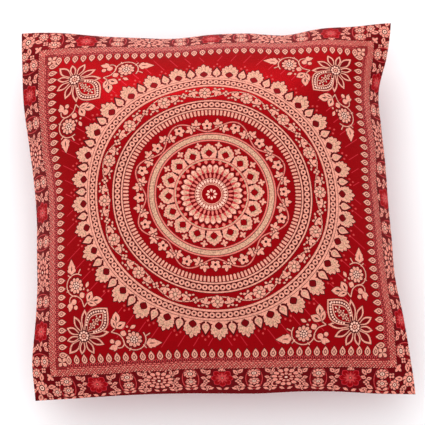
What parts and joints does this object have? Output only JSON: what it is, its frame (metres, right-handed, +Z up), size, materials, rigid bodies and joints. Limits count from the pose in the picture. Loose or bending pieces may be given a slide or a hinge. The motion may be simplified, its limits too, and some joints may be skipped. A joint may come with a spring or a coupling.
{
  "type": "square cushion",
  "caption": "Square filled scatter cushion in red satin brocade with a gold round medallion on its face, lying on its back.",
  "frame": {"origin": "on the floor, under the middle of the cushion's outline", "axes": "+Z up out of the woven face, +Y towards the top of the design, +X to the right of the design"},
  "size_m": [0.406, 0.411, 0.1105],
  "materials": {
    "brocade": "red satin weave with matt gold thread figures, softly glossy"
  },
  "bodies": {
    "root": {"cushion": "brocade"}
  },
  "joints": []
}
